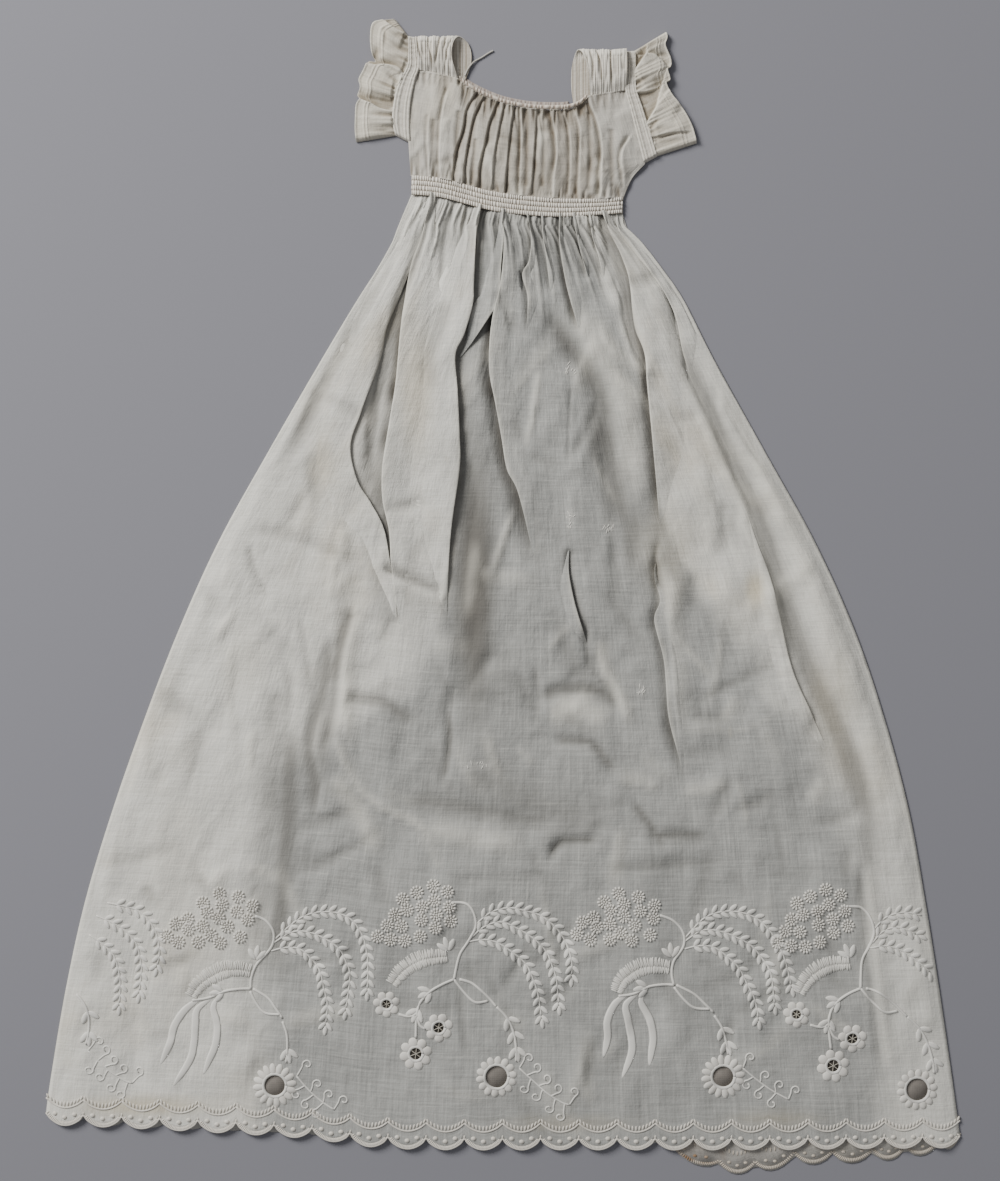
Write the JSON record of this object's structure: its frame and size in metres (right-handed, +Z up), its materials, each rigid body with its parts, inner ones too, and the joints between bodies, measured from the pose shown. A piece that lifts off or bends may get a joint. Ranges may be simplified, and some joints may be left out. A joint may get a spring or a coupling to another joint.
{
  "type": "baby gown",
  "caption": "Long white muslin gown for a baby, laid flat, with frilled sleeves, a gathered bodice, a corded waistband and a skirt with an embroidered border and a scalloped hem",
  "frame": {"origin": "middle of the gown's box at the height of the surface it lies on", "axes": "+Y runs from the hem up to the neck, +X to the right seen from above with the neck away from the viewer, +Z up from the surface, with the gown's front on top"},
  "size_m": [0.84, 1.0596, 0.0128],
  "materials": {
    "skirt_muslin": "thin white muslin, soft and matt, aged to cream",
    "bodice_muslin": "thin white muslin in soft gathers, aged to cream",
    "strap_muslin": "gathered muslin, matt",
    "frill_muslin": "crisp muslin frill, aged to cream",
    "corded_band": "corded and gathered cotton, matt",
    "neck_casing": "narrow cotton casing, slightly pink",
    "drawstring_cotton": "twisted cotton cord, matt"
  },
  "bodies": {
    "root": {"skirt_front": "skirt_muslin", "skirt_back": "skirt_muslin", "waistband_front": "corded_band", "waistband_back": "corded_band", "bodice_front": "bodice_muslin", "bodice_back": "bodice_muslin", "neck_binding_front": "neck_casing", "neck_binding_back": "neck_casing", "shoulder_strap_left": "strap_muslin", "shoulder_strap_right": "strap_muslin", "armband_left": "corded_band", "armband_right": "corded_band", "sleeve_frill_left": "frill_muslin", "sleeve_frill_right": "frill_muslin", "drawstring_end": "drawstring_cotton"}
  },
  "joints": []
}
